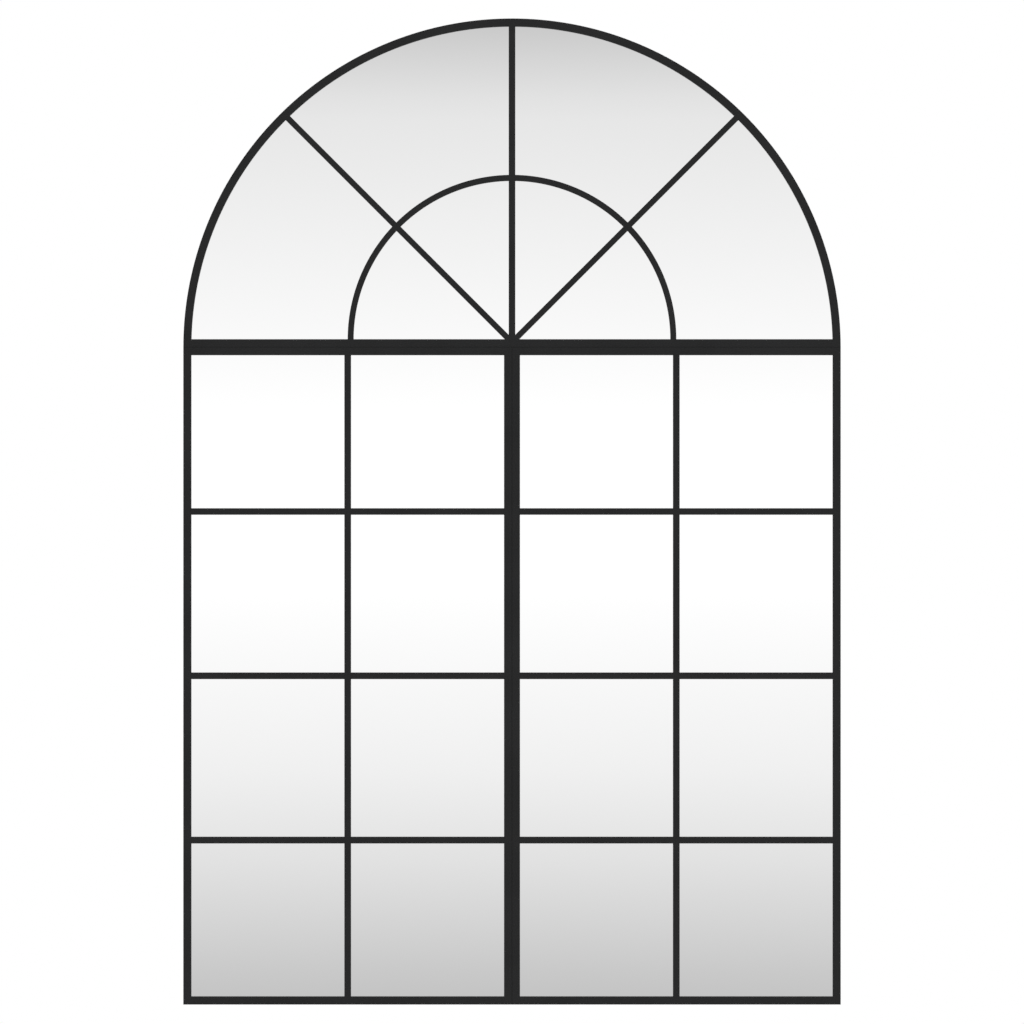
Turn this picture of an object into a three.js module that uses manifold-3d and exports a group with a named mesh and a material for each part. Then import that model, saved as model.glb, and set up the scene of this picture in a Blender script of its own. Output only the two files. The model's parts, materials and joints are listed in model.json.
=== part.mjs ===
// Arched window mirror: a half-round fanlight panel over two tall panels.
// Each panel is a frame of steel angle with glazing bars welded in, one mirror behind them,
// a cardboard liner and a back board. Turn clips hold the boards, plates join the three panels,
// and two hangers with swinging rings carry the whole on the wall.
// Millimetres, +Z up. The front faces -Y, left and right are as seen from the front.
// The origin lies in the wall plane, midway between the two hooks that the rings hang on.

import * as THREE from "three";
import { mergeVertices } from "three/addons/utils/BufferGeometryUtils.js";
import Module from "manifold-3d";

const wasm = await Module();
wasm.setup();

// Overall sizes
const WIDTH = 1000; // over the outer stiles, twice the radius of the arch
const SPRING_HEIGHT = 1000; // from the foot to the springing line, the joint below the fanlight
const PANEL_GAP = 0.25; // between two neighbouring panels
const FIT = 0.25; // clearance between pieces that lie against each other
const ARC_FACETS = 60; // flats on a half circle

// Steel bars
const BAR_FACE = 12; // frame angle, as wide as it shows from the front
const STEEL = 2; // thickness of the frame angle and of the glazing bars
const GLAZING_BAR = 10; // width of the upright and cross bars and the upright spoke
const FAN_BAR = 9; // width of the half ring and the sloping spokes
const CROSS_BARS = 3; // in each tall panel
const RING_RADIUS = 250; // outside of the half ring in the fanlight
const SPOKE_SLOPE = THREE.MathUtils.degToRad(45); // between a sloping spoke and the upright one
const SPOKE_MEET = 7.5; // height above the springing line where the spokes' centre lines meet

// Sheets behind the bars
const GLASS = 4; // thickness of the mirrors
const LINER = 2; // thickness of the cardboard liners
const BOARD = 3; // thickness of the back boards
const GLASS_LAP = 5; // how far the frame covers the edge of a mirror
const BOARD_MARGIN = 2; // liners and boards are smaller than the mirrors all round

// Weld studs, and the clips and plates that go on them
const STUD = 4; // diameter
const STUD_HOLE = 4.4; // diameter
const STUD_TAIL = 5.5; // how far a stud stands out behind the frame
const CLIP_REACH = 26; // from the pivot to the tip
const CLIP_WIDTH = 8;
const CLIP_THICK = 1.5;
const PLATE_LENGTH = 60;
const PLATE_WIDTH = 18;
const PLATE_THICK = 2;
const PLATE_CROP = 2; // cut off each way at the corners
const PLATE_PITCH = 40; // between the studs of one plate, along the joint
const TEE_LEG = 60; // from the springing line down to the tee plate's lower edge
const TEE_PITCH = 50; // from the springing line down to the studs in that leg

// Where clips, plates, hangers and pads sit
const CLIP_INSET = 200; // from the two ends of an outer stile to its clips
const BOW_CLIPS = { right: 30, top: 90, left: 150 }; // degrees round the bow
const END_PLATE_INSET = 50; // from the side of the mirror to the middle of a transom plate
const HANGER_INSET = 200; // from the side of the mirror to each hanger
const PAD_INSET = 30; // from the outer corner of a panel to the middle of its wall pad

// Hangers and wall pads
const STRAP_WIDTH = 14;
const STRAP_THICK = 1.5;
const STRAP_FOOT = 11; // from the springing line down to the strap's lower end
const EYE_HEIGHT = 14; // from the springing line up to the eye
const RING_WIRE = 3; // diameter
const RING_WIDTH = 18; // inside
const RING_LENGTH = 27; // from the wire in the eye to the wire at the round end
const RING_CORNER = 3; // bend radius of the wire beside the eye
const RING_SPLIT = 0.5; // between the two ends of the wire, inside the eye
const PAD_DIAMETER = 16;
const PAD_THICK = 8;

// Worked out from the sizes above; depths are measured from the front face
const RADIUS = WIDTH / 2;
const MODULE = WIDTH / 4; // spacing of the glazing bars
const GLASS_FRONT = STEEL + FIT;
const GLASS_BACK = GLASS_FRONT + GLASS;
const LINER_FRONT = GLASS_BACK + FIT;
const LINER_BACK = LINER_FRONT + LINER;
const BOARD_FRONT = LINER_BACK + FIT;
const BOARD_BACK = BOARD_FRONT + BOARD;
const FRAME_DEPTH = BOARD_BACK + FIT;
const CLIP_FRONT = FRAME_DEPTH + FIT;
const STUD_END = FRAME_DEPTH + STUD_TAIL;
const WALL = BOARD_BACK + FIT + PAD_THICK;
const GLASS_INSET = BAR_FACE - GLASS_LAP;
const BOARD_INSET = GLASS_INSET + BOARD_MARGIN;
const STUD_INSET = (STEEL + GLASS_INSET) / 2; // studs stand midway between the web and the glass
const HALF_GAP = PANEL_GAP / 2;
const STUD_LINE = HALF_GAP + STUD_INSET; // from a joint between panels to the studs beside it
const SILL_TOP = HALF_GAP + BAR_FACE; // above the springing line
const PANEL_TOP = SPRING_HEIGHT - HALF_GAP; // above the foot
const EYE_BORE = RING_WIRE / 2 + FIT; // radius
const EYE_RADIUS = EYE_BORE + STRAP_THICK;
const EYE_DEPTH = FRAME_DEPTH + EYE_RADIUS;
const HOOK_HEIGHT = SPRING_HEIGHT + EYE_HEIGHT + RING_LENGTH - RING_WIRE / 2;

// Places that follow from the outline: heights above the foot, or distances from the centre line
const OUTER_CLIPS = [CLIP_INSET, SPRING_HEIGHT - CLIP_INSET];
const MEETING_CLIP = SPRING_HEIGHT / 2;
const STILE_PLATES = { lower: SPRING_HEIGHT / 4, upper: (3 * SPRING_HEIGHT) / 4 };
const RAIL_CLIP = MODULE;
const END_PLATE = RADIUS - END_PLATE_INSET;
const HANGER_OUT = RADIUS - HANGER_INSET;
const SILL_CLIP = HANGER_OUT / 2;

const FINISHES = {
  blackIron: { color: 0x26272a, roughness: 0.5, metalness: 0.6 },
  mirror: { color: 0xe8ecec, roughness: 0.03, metalness: 1 },
  cardboard: { color: 0xa98458, roughness: 0.95, metalness: 0 },
  hardboard: { color: 0x7b573a, roughness: 0.85, metalness: 0 },
  zincSteel: { color: 0xb4b6b4, roughness: 0.35, metalness: 1 },
  rubber: { color: 0x1b1b1c, roughness: 0.9, metalness: 0 },
};

function addPart(group, name, geometry, finish) {
  const mesh = new THREE.Mesh(geometry, new THREE.MeshStandardMaterial(FINISHES[finish]));
  mesh.name = name;
  group.add(mesh);
  return mesh;
}

// Joining and cutting

function toSolid(geometry) {
  const bare = geometry.clone();
  bare.deleteAttribute("normal");
  bare.deleteAttribute("uv");
  const merged = mergeVertices(bare);
  const vertProperties = merged.attributes.position.array;
  const triVerts = new Uint32Array(merged.index.array);
  return new wasm.Manifold(new wasm.Mesh({ numProp: 3, vertProperties, triVerts }));
}

function toGeometry(solid) {
  const { vertProperties, triVerts } = solid.getMesh();
  const geometry = new THREE.BufferGeometry();
  geometry.setAttribute("position", new THREE.BufferAttribute(vertProperties, 3));
  geometry.setIndex(new THREE.BufferAttribute(triVerts, 1));
  const faceted = geometry.toNonIndexed();
  faceted.computeVertexNormals();
  return faceted;
}

function join(first, ...others) {
  return toGeometry(others.reduce((whole, other) => whole.add(toSolid(other)), toSolid(first)));
}

function cut(piece, ...tools) {
  return toGeometry(tools.reduce((whole, tool) => whole.subtract(toSolid(tool)), toSolid(piece)));
}

// Outlines lie in the plane of the mirror, as [x, z] points

function rectangle(left, right, bottom, top) {
  return [
    [left, bottom],
    [right, bottom],
    [right, top],
    [left, top],
  ];
}

// Half circle of flats that touch the true circle at their middles, so that the first and the
// last flat stand upright and carry on down to the given height.
function halfRound(radius, bottom) {
  const step = Math.PI / ARC_FACETS;
  const corner = radius / Math.cos(step / 2);
  const points = [[radius, bottom]];
  for (let i = 0; i < ARC_FACETS; i++) {
    const angle = (i + 0.5) * step;
    points.push([corner * Math.cos(angle), corner * Math.sin(angle)]);
  }
  points.push([-radius, bottom]);
  return points;
}

function arcBand(inner, outer, bottom) {
  return [...halfRound(outer, bottom), ...halfRound(inner, bottom).reverse()];
}

// A sheet of the given outline between two depths, with round holes at the given points.
function slab(outline, front, back, holes = []) {
  const shape = new THREE.Shape(outline.map(([x, z]) => new THREE.Vector2(x, z)));
  for (const [x, z] of holes) {
    shape.holes.push(new THREE.Path().absarc(x, z, STUD_HOLE / 2, 0, 2 * Math.PI, true));
  }
  return extrudeBack(shape, front, back);
}

function extrudeBack(shape, front, back) {
  const depth = back - front;
  const geometry = new THREE.ExtrudeGeometry(shape, { depth, bevelEnabled: false, curveSegments: 6 });
  const turned = new THREE.Matrix4().set(1, 0, 0, 0, 0, 0, -1, back, 0, 1, 0, 0, 0, 0, 0, 1);
  return geometry.applyMatrix4(turned);
}

function weldStud(x, z) {
  const start = STEEL / 2;
  const stud = new THREE.CylinderGeometry(STUD / 2, STUD / 2, STUD_END - start, 12);
  return stud.translate(x, (start + STUD_END) / 2, z);
}

// Steel angle with mitred ends. It runs from the start point in one of the four directions,
// its web along the outside of the panel and its flange to the inside at the front.
const UP = { along: [0, 0, 1], inward: [1, 0, 0] };
const DOWN = { along: [0, 0, -1], inward: [-1, 0, 0] };
const TO_RIGHT = { along: [1, 0, 0], inward: [0, 0, -1] };
const TO_LEFT = { along: [-1, 0, 0], inward: [0, 0, 1] };

function angleBar(direction, startX, startZ, length, studs) {
  const section = new THREE.Shape([
    new THREE.Vector2(0, 0),
    new THREE.Vector2(BAR_FACE, 0),
    new THREE.Vector2(BAR_FACE, STEEL),
    new THREE.Vector2(STEEL, STEEL),
    new THREE.Vector2(STEEL, FRAME_DEPTH),
    new THREE.Vector2(0, FRAME_DEPTH),
  ]);
  const bar = new THREE.ExtrudeGeometry(section, { depth: length, bevelEnabled: false });
  const corners = bar.attributes.position;
  for (let i = 0; i < corners.count; i++) {
    const mitre = corners.getX(i);
    const end = corners.getZ(i);
    corners.setZ(i, end < length / 2 ? end + mitre : end - mitre);
  }
  const placed = new THREE.Matrix4().makeBasis(
    new THREE.Vector3(...direction.inward),
    new THREE.Vector3(0, 1, 0),
    new THREE.Vector3(...direction.along),
  );
  placed.setPosition(startX, 0, startZ);
  const withStuds = join(bar, ...studs.map((distance) => weldStud(STUD_INSET, distance)));
  return withStuds.applyMatrix4(placed);
}

// Pieces that go on the studs

// The same outline with each corner cropped at 45 degrees.
function cropped(outline, size) {
  const along = ([x, z], [toX, toZ]) => {
    const share = size / Math.hypot(toX - x, toZ - z);
    return [x + share * (toX - x), z + share * (toZ - z)];
  };
  return outline.flatMap((corner, i) => {
    const before = outline.at(i - 1);
    const after = outline[(i + 1) % outline.length];
    return [along(corner, before), along(corner, after)];
  });
}

function plate(outline, holes) {
  return slab(cropped(outline, PLATE_CROP), FRAME_DEPTH, FRAME_DEPTH + PLATE_THICK, holes);
}

// Two studs on each side of the joint that the plate lies across
const PLATE_HOLES = [
  [-PLATE_PITCH / 2, -STUD_LINE],
  [-PLATE_PITCH / 2, STUD_LINE],
  [PLATE_PITCH / 2, -STUD_LINE],
  [PLATE_PITCH / 2, STUD_LINE],
];

function addJoinerPlate(group, name, x, z, upright) {
  const halfLength = PLATE_LENGTH / 2;
  const halfWidth = PLATE_WIDTH / 2;
  const outline = rectangle(-halfLength, halfLength, -halfWidth, halfWidth);
  const joiner = addPart(group, name, plate(outline, PLATE_HOLES), "zincSteel");
  joiner.position.set(x, 0, z);
  joiner.rotation.y = upright ? Math.PI / 2 : 0;
}

// Lies where the three panels meet, with a leg down the joint between the tall ones.
function addTeePlate(group) {
  const halfLength = PLATE_LENGTH / 2;
  const halfWidth = PLATE_WIDTH / 2;
  const outline = [
    [-halfLength, -halfWidth],
    [-halfWidth, -halfWidth],
    [-halfWidth, -TEE_LEG],
    [halfWidth, -TEE_LEG],
    [halfWidth, -halfWidth],
    [halfLength, -halfWidth],
    [halfLength, halfWidth],
    [-halfLength, halfWidth],
  ];
  const legHoles = [
    [-STUD_LINE, -TEE_PITCH],
    [STUD_LINE, -TEE_PITCH],
  ];
  addPart(group, "centre_tee_plate", plate(outline, [...PLATE_HOLES, ...legHoles]), "zincSteel");
}

// Flat tongue that turns on its stud; it points over the back board at the given angle from +X.
function addTurnClip(group, name, x, z, degrees) {
  const round = CLIP_WIDTH / 2;
  const shape = new THREE.Shape();
  shape.absarc(0, 0, round, 0.5 * Math.PI, 1.5 * Math.PI);
  shape.absarc(CLIP_REACH - round, 0, round, 1.5 * Math.PI, 2.5 * Math.PI);
  shape.holes.push(new THREE.Path().absarc(0, 0, STUD_HOLE / 2, 0, 2 * Math.PI, true));
  const geometry = extrudeBack(shape, CLIP_FRONT, CLIP_FRONT + CLIP_THICK);
  const clip = addPart(group, name, geometry, "zincSteel");
  clip.position.set(x, 0, z);
  clip.rotation.y = -THREE.MathUtils.degToRad(degrees);
}

// Steel strap folded into an eye at its upper end, on one stud above and one below the joint.
function addHanger(group, side) {
  const half = STRAP_WIDTH / 2;
  const outline = rectangle(-half, half, -STRAP_FOOT, EYE_HEIGHT);
  const holes = [
    [0, -STUD_LINE],
    [0, STUD_LINE],
  ];
  const flat = slab(outline, FRAME_DEPTH, FRAME_DEPTH + STRAP_THICK, holes);
  const strap = cut(join(flat, eyeCylinder(EYE_RADIUS, half)), eyeCylinder(EYE_BORE, STRAP_WIDTH));
  const pieces = [
    addPart(group, `${side}_hanger_strap`, strap, "zincSteel"),
    addPart(group, `${side}_hanger_ring`, hangerRing(), "zincSteel"),
  ];
  pieces.forEach((piece) => piece.position.set(HANGER_OUT, 0, SPRING_HEIGHT));
}

function eyeCylinder(radius, halfLength) {
  const cylinder = new THREE.CylinderGeometry(radius, radius, 2 * halfLength, 18);
  return cylinder.rotateZ(Math.PI / 2).translate(0, EYE_DEPTH, EYE_HEIGHT);
}

// Wire bent to a D with long sides. It hangs from the eye, and its two ends meet inside the eye.
function hangerRing() {
  const half = (RING_WIDTH + RING_WIRE) / 2;
  const bend = RING_CORNER;
  const end = RING_SPLIT / 2;
  const wire = new THREE.Path();
  wire.moveTo(end, 0);
  wire.lineTo(half - bend, 0);
  wire.absarc(half - bend, -bend, bend, 0.5 * Math.PI, 0, true);
  wire.lineTo(half, half - RING_LENGTH);
  wire.absarc(0, half - RING_LENGTH, half, 0, -Math.PI, true);
  wire.lineTo(-half, -bend);
  wire.absarc(bend - half, -bend, bend, Math.PI, 0.5 * Math.PI, true);
  wire.lineTo(-end, 0);
  const steps = 44;
  const points = wire.getSpacedPoints(steps).map(({ x, y }) => new THREE.Vector3(x, 0, y));
  const extrudePath = new THREE.CatmullRomCurve3(points);
  const section = new THREE.Shape().absarc(0, 0, RING_WIRE / 2, 0, 2 * Math.PI);
  const ring = new THREE.ExtrudeGeometry(section, { steps, extrudePath, curveSegments: 4 });
  return ring.translate(0, EYE_DEPTH, EYE_HEIGHT);
}

function addWallPad(group, name, x, z) {
  const pad = new THREE.CylinderGeometry(PAD_DIAMETER / 2, PAD_DIAMETER / 2, PAD_THICK, 24);
  addPart(group, name, pad, "rubber").position.set(x, WALL - PAD_THICK / 2, z);
}

// Sheets of one panel, each cut by the same rule from the panel's outline
function addSheets(group, panel, outlineAt) {
  const glass = outlineAt(GLASS_INSET);
  const backing = outlineAt(BOARD_INSET);
  addPart(group, `${panel}_mirror`, slab(glass, GLASS_FRONT, GLASS_BACK), "mirror");
  addPart(group, `${panel}_liner`, slab(backing, LINER_FRONT, LINER_BACK), "cardboard");
  addPart(group, `${panel}_back_board`, slab(backing, BOARD_FRONT, BOARD_BACK), "hardboard");
}

// Glazing bar with half of its thickness taken away where others cross it

function notched(bar, crossings, front, back) {
  return cut(bar, ...crossings.map((outline) => slab(outline, front, back)));
}

// Tall panel, drawn on the right; its origin is at the foot on the centre line

function addTallPanel(group, side) {
  const name = (piece) => `${side}_${piece}`;
  const inner = HALF_GAP;
  const width = RADIUS - inner;
  const transomStuds = [
    PLATE_PITCH / 2,
    RAIL_CLIP,
    HANGER_OUT,
    END_PLATE - PLATE_PITCH / 2,
    END_PLATE + PLATE_PITCH / 2,
  ];
  const meetingStuds = [
    ...Object.values(STILE_PLATES).flatMap((z) => [z - PLATE_PITCH / 2, z + PLATE_PITCH / 2]),
    MEETING_CLIP,
    SPRING_HEIGHT - TEE_PITCH,
  ];
  const fromInner = transomStuds.map((x) => x - inner);
  const fromTop = OUTER_CLIPS.map((z) => PANEL_TOP - z);
  const bars = {
    meeting_stile: angleBar(UP, inner, 0, PANEL_TOP, meetingStuds),
    outer_stile: angleBar(DOWN, RADIUS, PANEL_TOP, PANEL_TOP, fromTop),
    head_rail: angleBar(TO_RIGHT, inner, PANEL_TOP, width, fromInner),
    foot_rail: angleBar(TO_LEFT, RADIUS, 0, width, [RADIUS - RAIL_CLIP]),
  };
  for (const [piece, bar] of Object.entries(bars)) {
    addPart(group, name(piece), bar, "blackIron");
  }
  addGlazingBars(group, name);
  addSheets(group, side, (inset) =>
    rectangle(inner + inset, RADIUS - inset, inset, PANEL_TOP - inset),
  );
  OUTER_CLIPS.forEach((z, i) => {
    addTurnClip(group, name(`outer_clip_${i + 1}`), RADIUS - STUD_INSET, z, 180);
  });
  addTurnClip(group, name("meeting_clip"), STUD_LINE, MEETING_CLIP, 0);
  addTurnClip(group, name("foot_clip"), RAIL_CLIP, STUD_INSET, 90);
  addTurnClip(group, name("head_clip"), RAIL_CLIP, SPRING_HEIGHT - STUD_LINE, -90);
  addHanger(group, side);
  addWallPad(group, name("wall_pad"), RADIUS - PAD_INSET, PAD_INSET);
  addJoinerPlate(group, name("transom_plate"), END_PLATE, SPRING_HEIGHT, false);
}

// One upright bar, and cross bars that pass behind it in half laps
function addGlazingBars(group, name) {
  const half = GLAZING_BAR / 2;
  const middle = STEEL / 2;
  const left = HALF_GAP + BAR_FACE;
  const right = RADIUS - BAR_FACE;
  const crossHeights = Array.from({ length: CROSS_BARS }, (_, i) => {
    return ((i + 1) * SPRING_HEIGHT) / (CROSS_BARS + 1);
  });
  const uprightOutline = rectangle(MODULE - half, MODULE + half, BAR_FACE, PANEL_TOP - BAR_FACE);
  const crossOutlines = crossHeights.map((z) => rectangle(left, right, z - half, z + half));
  const upright = notched(slab(uprightOutline, 0, STEEL), crossOutlines, middle, 2 * STEEL);
  addPart(group, name("upright_bar"), upright, "blackIron");
  crossOutlines.forEach((outline, i) => {
    const bar = notched(slab(outline, 0, STEEL), [uprightOutline], -STEEL, middle);
    addPart(group, name(`cross_bar_${i + 1}`), bar, "blackIron");
  });
}

// Fanlight; its origin is on the springing line

function addFanlight(group) {
  addBow(group);
  addSill(group);
  addSpokesAndRing(group);
  addSheets(group, "fan", (inset) => halfRound(RADIUS - inset, HALF_GAP + inset));
  for (const [place, degrees] of Object.entries(BOW_CLIPS)) {
    const [x, z] = onBow(degrees);
    addTurnClip(group, `fan_${place}_clip`, x, z, degrees - 180);
  }
  addTurnClip(group, "fan_sill_left_clip", -SILL_CLIP, STUD_LINE, 90);
  addTurnClip(group, "fan_sill_right_clip", SILL_CLIP, STUD_LINE, 90);
}

function onBow(degrees) {
  const angle = THREE.MathUtils.degToRad(degrees);
  const radius = RADIUS - STUD_INSET;
  return [radius * Math.cos(angle), radius * Math.sin(angle)];
}

function addBow(group) {
  const flange = slab(arcBand(RADIUS - BAR_FACE, RADIUS, HALF_GAP), 0, STEEL);
  const web = slab(arcBand(RADIUS - STEEL, RADIUS, HALF_GAP), 0, FRAME_DEPTH);
  const studs = Object.values(BOW_CLIPS).map((degrees) => weldStud(...onBow(degrees)));
  addPart(group, "fan_bow", join(flange, web, ...studs), "blackIron");
}

// The sill's flange ends at the bow's flange, and its web runs on behind that to the bow's web.
function addSill(group) {
  const flangeEnd = RADIUS - BAR_FACE - FIT;
  const webEnd = RADIUS - STEEL - FIT;
  const webTop = HALF_GAP + STEEL;
  const flange = slab(rectangle(-flangeEnd, flangeEnd, HALF_GAP, SILL_TOP), 0, STEEL);
  const web = slab(rectangle(-flangeEnd, flangeEnd, HALF_GAP, webTop), 0, FRAME_DEPTH);
  const tongue = slab(rectangle(-webEnd, webEnd, HALF_GAP, webTop), GLASS_FRONT, FRAME_DEPTH);
  const plateStuds = [END_PLATE - PLATE_PITCH / 2, END_PLATE + PLATE_PITCH / 2];
  const studPlaces = [PLATE_PITCH / 2, SILL_CLIP, HANGER_OUT, ...plateStuds];
  const studs = studPlaces.flatMap((x) => [weldStud(x, STUD_LINE), weldStud(-x, STUD_LINE)]);
  addPart(group, "fan_sill", join(flange, web, tongue, ...studs), "blackIron");
}

// The ring passes behind the spokes in half laps.
function addSpokesAndRing(group) {
  const middle = STEEL / 2;
  const spokes = {
    fan_spoke_centre: centreSpoke(0),
    fan_spoke_left: slopingSpoke(-1, 0),
    fan_spoke_right: slopingSpoke(1, 0),
  };
  const raise = (outline) => outline.map(([x, z]) => [x, z + SILL_TOP]);
  const inner = RING_RADIUS - FAN_BAR;
  const ringOutline = raise(arcBand(inner, RING_RADIUS, 0));
  const ringSlot = raise(arcBand(inner - FIT, RING_RADIUS + FIT, -FIT));
  const spokeSlots = [centreSpoke(FIT), slopingSpoke(-1, FIT), slopingSpoke(1, FIT)];
  for (const [name, outline] of Object.entries(spokes)) {
    const spoke = notched(slab(outline, 0, STEEL), [ringSlot], middle - FIT / 2, 2 * STEEL);
    addPart(group, name, spoke, "blackIron");
  }
  const ring = notched(slab(ringOutline, 0, STEEL), spokeSlots, -STEEL, middle + FIT / 2);
  addPart(group, "fan_ring", ring, "blackIron");
}

function centreSpoke(grow) {
  const half = GLAZING_BAR / 2 + grow;
  return rectangle(-half, half, SILL_TOP, RADIUS - BAR_FACE - FIT);
}

// Its foot is cut to stand on the sill beside the upright spoke; side is -1 on the left.
function slopingSpoke(side, grow) {
  const half = FAN_BAR / 2 + grow;
  const sin = Math.sin(SPOKE_SLOPE);
  const cos = Math.cos(SPOKE_SLOPE);
  const footX = GLAZING_BAR / 2 + FIT;
  const footZ = SILL_TOP + FIT;
  const end = RADIUS - BAR_FACE - FIT - SPOKE_MEET * cos;
  const upperEdge = (x) => SPOKE_MEET + (x * cos + half) / sin;
  const lowerEdge = (z) => ((z - SPOKE_MEET) * sin + half) / cos;
  const outline = [
    [footX, footZ],
    [lowerEdge(footZ), footZ],
    [end * sin + half * cos, SPOKE_MEET + end * cos - half * sin],
    [end * sin - half * cos, SPOKE_MEET + end * cos + half * sin],
    [footX, upperEdge(footX)],
  ];
  return outline.map(([x, z]) => [side * x, z]);
}

// The whole mirror

function addJoints(group) {
  for (const [place, height] of Object.entries(STILE_PLATES)) {
    addJoinerPlate(group, `${place}_joiner_plate`, 0, height, true);
  }
}

const mirror = new THREE.Group();
mirror.position.set(0, -WALL, -HOOK_HEIGHT);

const rightPanel = new THREE.Group();
addTallPanel(rightPanel, "right");

const leftPanel = new THREE.Group();
leftPanel.scale.x = -1;
addTallPanel(leftPanel, "left");

const fanlight = new THREE.Group();
fanlight.position.z = SPRING_HEIGHT;
addFanlight(fanlight);
addTeePlate(fanlight);

addJoints(mirror);
mirror.add(leftPanel, rightPanel, fanlight);

const root = new THREE.Group();
root.add(mirror);

export default root;
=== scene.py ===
"""Looks of the arched window mirror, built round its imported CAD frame. Metres, +Z up."""

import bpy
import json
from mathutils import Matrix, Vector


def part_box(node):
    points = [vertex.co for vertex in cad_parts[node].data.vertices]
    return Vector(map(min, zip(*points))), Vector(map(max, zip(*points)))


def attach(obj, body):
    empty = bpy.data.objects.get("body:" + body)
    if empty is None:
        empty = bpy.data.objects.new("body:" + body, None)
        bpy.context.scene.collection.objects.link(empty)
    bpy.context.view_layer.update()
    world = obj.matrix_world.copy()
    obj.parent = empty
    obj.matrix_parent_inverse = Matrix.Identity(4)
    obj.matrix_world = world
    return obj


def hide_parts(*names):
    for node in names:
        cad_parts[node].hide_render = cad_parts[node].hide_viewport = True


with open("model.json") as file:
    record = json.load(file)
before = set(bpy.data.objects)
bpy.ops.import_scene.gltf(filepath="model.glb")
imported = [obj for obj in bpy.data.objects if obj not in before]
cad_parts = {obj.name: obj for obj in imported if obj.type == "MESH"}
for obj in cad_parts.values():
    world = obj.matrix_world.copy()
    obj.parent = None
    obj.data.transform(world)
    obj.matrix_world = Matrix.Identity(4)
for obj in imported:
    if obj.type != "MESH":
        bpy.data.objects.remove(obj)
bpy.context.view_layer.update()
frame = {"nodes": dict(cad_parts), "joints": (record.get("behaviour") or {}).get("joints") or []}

import json
from math import atan2, cos, pi, radians, sin, sqrt

import bmesh
import bpy
from mathutils import Matrix, Vector


# Camera. Straight on and almost level with the middle of the mirror. The lens gives the width
# that the mirror takes up in the photograph's square frame from 4.2 m in front of it.

MM = 0.001
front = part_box("fan_bow")[0][1]  # depth of the frame's front face
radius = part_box("fan_bow")[1][0]  # outside of the arch
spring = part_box("fan_bow")[1][2] - radius  # height of the joint below the fanlight
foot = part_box("left_foot_rail")[0][2]

DISTANCE = 4.2
LOWERED = 0.75 * MM  # below the mirror's middle
camera_data = bpy.data.cameras.new("camera")
camera_data.sensor_width = 36
camera_data.lens = 97.08
camera = bpy.data.objects.new("camera", camera_data)
camera.location = (0, front - DISTANCE, (foot + spring + radius) / 2 - LOWERED)
camera.rotation_euler = (radians(90), 0, 0)
bpy.context.scene.collection.objects.link(camera)
bpy.context.scene.camera = camera


# Frames of the tall panels. Black powder-coated 12 x 12 x 2 steel angle, the web along the
# outside and the flange in front, mitred and welded at the corners and ground flush.

class Shade:
    """A socket of a material's nodes. Sums of these and numbers add Math nodes."""

    def __init__(self, tree, socket=None):
        self.tree = tree
        self.socket = socket

    def node(self, kind, inputs, output=0, stops=None, **settings):
        made = self.tree.nodes.new(kind)
        for name, value in settings.items():
            setattr(made, name, value)
        if stops:
            ramp = made.color_ramp
            while len(ramp.elements) < len(stops):
                ramp.elements.new(1)
            for element, (place, shade) in zip(ramp.elements, stops):
                element.position = place
                element.color = (*shade, 1) if isinstance(shade, tuple) else (shade,) * 3 + (1,)
        for name, value in inputs.items():
            if isinstance(value, Shade):
                self.tree.links.new(value.socket, made.inputs[name])
            else:
                made.inputs[name].default_value = value
        return Shade(self.tree, made.outputs[output])

    def math(self, operation, first, second):
        return self.node("ShaderNodeMath", {0: first, 1: second}, operation=operation)

    def __add__(self, other):
        return self.math("ADD", self, other)

    __radd__ = __add__

    def __mul__(self, other):
        return self.math("MULTIPLY", self, other)

    __rmul__ = __mul__

    def __sub__(self, other):
        return self.math("SUBTRACT", self, other)

    def __rsub__(self, other):
        return self.math("SUBTRACT", other, self)

    def noise(self, scale, detail=3, stretch=(1, 1, 1)):
        """Noise from 0 to 1 on Object coordinates, scale in waves a metre."""
        size = tuple(scale * share for share in stretch)
        places = self.node("ShaderNodeTexCoord", {}, output=3)
        mapped = self.node("ShaderNodeMapping", {"Vector": places, "Scale": size})
        return self.node("ShaderNodeTexNoise", {"Vector": mapped, "Scale": 1, "Detail": detail})

    def blend(self, mask, first, second):
        """The first colour where the mask is 0 and the second where it is 1."""
        inputs = {"Factor": mask, 6: first, 7: second}
        return self.node("ShaderNodeMix", inputs, output=2, data_type="RGBA")

    def steps(self, low, high):
        """This value stretched from low..high to 0..1."""
        inputs = {"Value": self, "From Min": low, "From Max": high}
        return self.node("ShaderNodeMapRange", inputs)

    def bump(self, strength, depth):
        inputs = {"Height": self, "Strength": strength, "Distance": depth}
        return self.node("ShaderNodeBump", inputs)


def new_material(name):
    """A material with a Principled shader, and a Shade to build its nodes with."""
    material = bpy.data.materials.new(name)
    material.use_nodes = True
    return material, Shade(material.node_tree)


def finish(material, **sockets):
    """Sets or links the Principled shader's sockets, named with _ for a space."""
    shader = material.node_tree.nodes["Principled BSDF"]
    for name, value in sockets.items():
        socket = shader.inputs[name.replace("_", " ")]
        if isinstance(value, Shade):
            material.node_tree.links.new(value.socket, socket)
        else:
            socket.default_value = value


powder_coat, paint = new_material("black_powder_coat")
texture = paint.noise(900, detail=2)
cloud = paint.noise(14).steps(0.3, 0.7)
shade = cloud * 0.25 + texture.steps(0.35, 0.65) * 0.75
finish(
    powder_coat,
    Base_Color=paint.blend(shade, (0.002, 0.002, 0.0021, 1), (0.0165, 0.0168, 0.0174, 1)),
    Roughness=0.36 + cloud * 0.06 + texture * 0.16,
    Normal=texture.bump(0.8, 0.00012),
    IOR=1.31,
)


def deselect():
    bpy.ops.object.select_all(action="DESELECT")


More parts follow.
